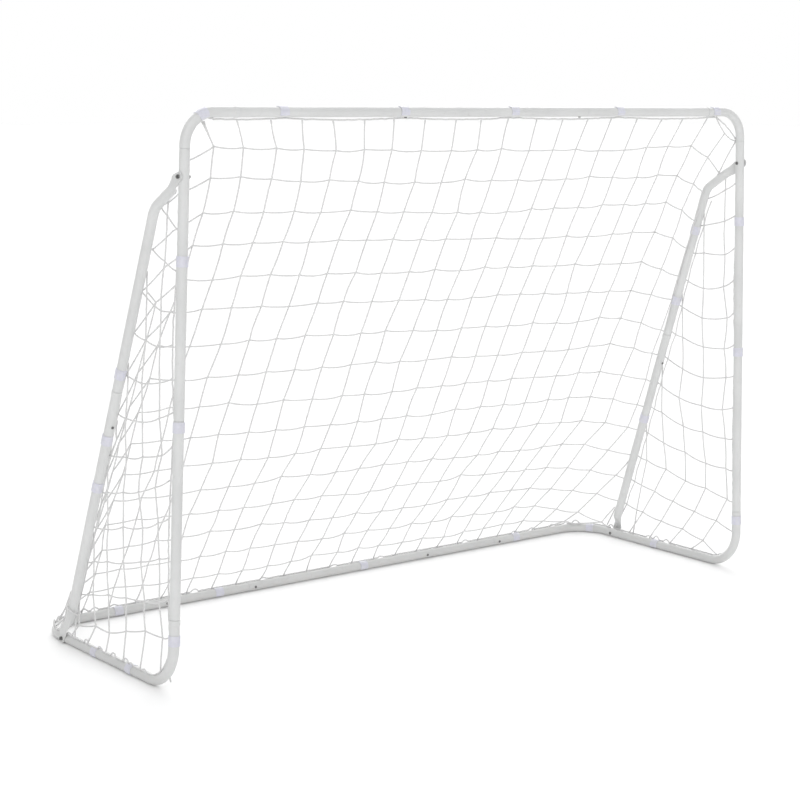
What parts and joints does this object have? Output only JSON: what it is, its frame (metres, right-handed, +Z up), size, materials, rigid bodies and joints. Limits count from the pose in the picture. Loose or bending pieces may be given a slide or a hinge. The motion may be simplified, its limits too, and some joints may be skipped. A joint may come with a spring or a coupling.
{
  "type": "soccer goal frame",
  "caption": "Backyard soccer goal: white bent-tube frame with crossbar, leaning posts, U-shaped ground base and side braces, bolted together, with a clipped-on square-mesh net.",
  "frame": {"origin": "on the ground under the middle of the goal, at the centre of the bounding box's underside", "axes": "+X along the crossbar to the right-hand post seen from the field, +Y from the mouth to the back bar, +Z up"},
  "size_m": [2.199, 0.7638, 1.5219],
  "materials": {
    "powder_coat": "satin white powder coat",
    "dark_zinc": "dark zinc",
    "clip_plastic": "translucent pale lavender moulding",
    "net_cord": "white braided cord"
  },
  "bodies": {
    "root": {"crossbar_middle": "powder_coat", "crossbar_left": "powder_coat", "crossbar_right": "powder_coat", "crossbar_corner_left": "powder_coat", "crossbar_corner_right": "powder_coat", "post_upper_left": "powder_coat", "post_upper_right": "powder_coat", "post_lower_left": "powder_coat", "post_lower_right": "powder_coat", "bottom_corner_left": "powder_coat", "bottom_corner_right": "powder_coat", "rear_corner_left": "powder_coat", "rear_corner_right": "powder_coat", "back_bar_left": "powder_coat", "back_bar_right": "powder_coat", "brace_upper_left": "powder_coat", "brace_upper_right": "powder_coat", "brace_lower_left": "powder_coat", "brace_lower_right": "powder_coat", "back_bar_middle": "powder_coat", "crossbar_screws": "dark_zinc", "back_bar_screws": "dark_zinc", "brace_joint_screws": "dark_zinc", "brace_top_bolts": "dark_zinc", "brace_top_nuts": "dark_zinc", "brace_foot_bolts": "dark_zinc", "brace_foot_nuts": "dark_zinc", "crossbar_clips": "clip_plastic", "post_clips": "clip_plastic", "base_side_clips": "clip_plastic", "brace_clips": "clip_plastic", "back_bar_clips": "clip_plastic", "net_back": "net_cord", "net_side_left": "net_cord", "net_side_right": "net_cord"}
  },
  "joints": []
}
